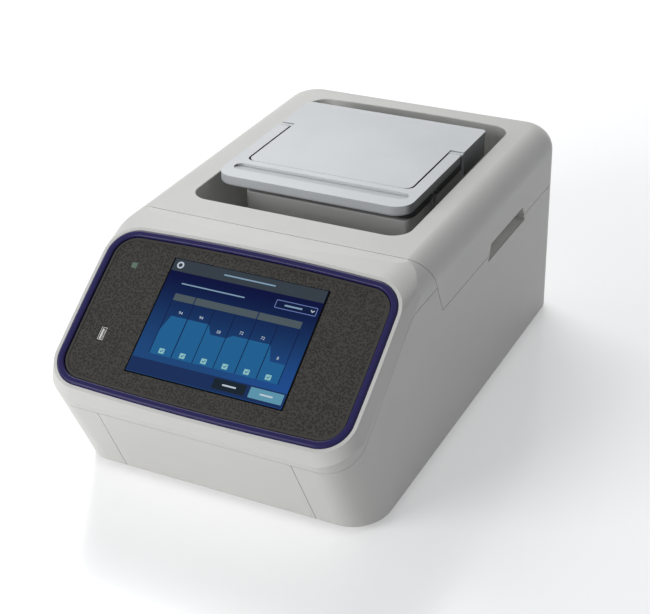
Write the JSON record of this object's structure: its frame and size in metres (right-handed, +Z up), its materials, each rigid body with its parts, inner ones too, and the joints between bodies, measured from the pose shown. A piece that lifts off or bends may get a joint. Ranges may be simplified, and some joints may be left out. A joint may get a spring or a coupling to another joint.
{
  "type": "thermal cycler",
  "caption": "Bench thermal cycler with a sloping touch screen, a hinged heated cover with a lift handle over a sample block in a bay, hand grips, fans and rear sockets.",
  "frame": {"origin": "middle of the bounding box's underside, level with the bottom of the feet", "axes": "+X to the right seen from the front, +Y to the rear, +Z up"},
  "size_m": [0.32, 0.546, 0.2348],
  "materials": {
    "shell": "fine moulded texture, warm white",
    "ring": "smooth navy",
    "panel": "dark grey with a fine speckle",
    "screen": "polished",
    "cover": "fine silver paint",
    "dark_plastic": "matte black",
    "module": "mid grey",
    "aluminium": "machined",
    "steel": "zinc plated sheet",
    "bright_steel": "bright",
    "brass": "plated",
    "rubber": "matte",
    "foam": "open foam",
    "board": "solder mask",
    "ceramic": "matte",
    "light": "translucent, dim green"
  },
  "bodies": {
    "base": {"top_cover": "shell", "lower_housing": "shell", "front_bezel": "shell", "front_access_panel": "shell", "bezel_ring": "ring", "control_panel": "panel", "display_glass": "screen", "usb_tongue": "dark_plastic", "usb_carrier": "dark_plastic", "ac_inlet": "dark_plastic", "switch_frame": "dark_plastic", "fan_frame_left": "dark_plastic", "fan_frame_right": "dark_plastic", "filter_frame": "dark_plastic", "display_module": "dark_plastic", "module_connector": "dark_plastic", "module_housing": "module", "heat_sink": "aluminium", "sample_block": "aluminium", "chassis_tray": "steel", "module_deck": "steel", "rear_panel": "steel", "socket_plate": "steel", "display_bracket": "steel", "power_supply": "steel", "air_duct": "steel", "hinge_pins": "bright_steel", "panel_screws": "bright_steel", "module_screws": "bright_steel", "rear_screws": "bright_steel", "fan_screws": "bright_steel", "usb_shell": "bright_steel", "rear_ports": "bright_steel", "hinge_brackets": "bright_steel", "inlet_pins": "brass", "rubber_feet": "rubber", "block_seal": "rubber", "air_filter": "foam", "main_board": "board", "control_board": "board", "supply_core": "board", "peltier_modules": "ceramic", "status_light": "light"},
    "heated_cover": {"cover_plate": "cover", "cover_frame": "dark_plastic", "handle_pins": "bright_steel", "platen_springs": "bright_steel"},
    "handle": {"cover_handle": "cover"},
    "latch": {"latch_hooks": "bright_steel"},
    "platen": {"heated_platen": "aluminium", "platen_posts": "bright_steel", "platen_heater": "ceramic"},
    "rocker": {"power_rocker": "dark_plastic"},
    "left_fan": {"fan_rotor_left": "dark_plastic"},
    "right_fan": {"fan_rotor_right": "dark_plastic"}
  },
  "joints": [
    {"name": "cover_hinge", "type": "hinge", "parent": "base", "child": "heated_cover", "pos_m": [0, 0.19202, 0.213], "axis": [-1, 0, 0], "range_deg": [0, 80]},
    {"name": "handle_hinge", "type": "hinge", "parent": "heated_cover", "child": "handle", "pos_m": [0, 0.10702, 0.23], "axis": [-1, 0, 0], "range_deg": [0, 75]},
    {"name": "latch_pivot", "type": "hinge", "parent": "heated_cover", "child": "latch", "pos_m": [0, 0.05802, 0.2155], "axis": [-1, 0, 0], "range_deg": [0, 25]},
    {"name": "platen_slide", "type": "slide", "parent": "heated_cover", "child": "platen", "axis": [0, 0, 1], "range_m": [0, 0.004], "stiffness_N_per_m": 4000, "springref_m": -0.006, "deforming": ["platen_springs"]},
    {"name": "rocker_pivot", "type": "hinge", "parent": "base", "child": "rocker", "pos_m": [-0.044, 0.26882, 0.041], "axis": [1, 0, 0], "range_deg": [0, 12]},
    {"name": "left_fan_spin", "type": "hinge", "parent": "base", "child": "left_fan", "pos_m": [-0.046, 0.25592, 0.104], "axis": [0, 1, 0], "continuous": true},
    {"name": "right_fan_spin", "type": "hinge", "parent": "base", "child": "right_fan", "pos_m": [0.046, 0.25592, 0.104], "axis": [0, 1, 0], "continuous": true}
  ],
  "couplings": [
    {"joint": "latch_pivot", "follows": "handle_hinge", "ratio": 0.3}
  ]
}
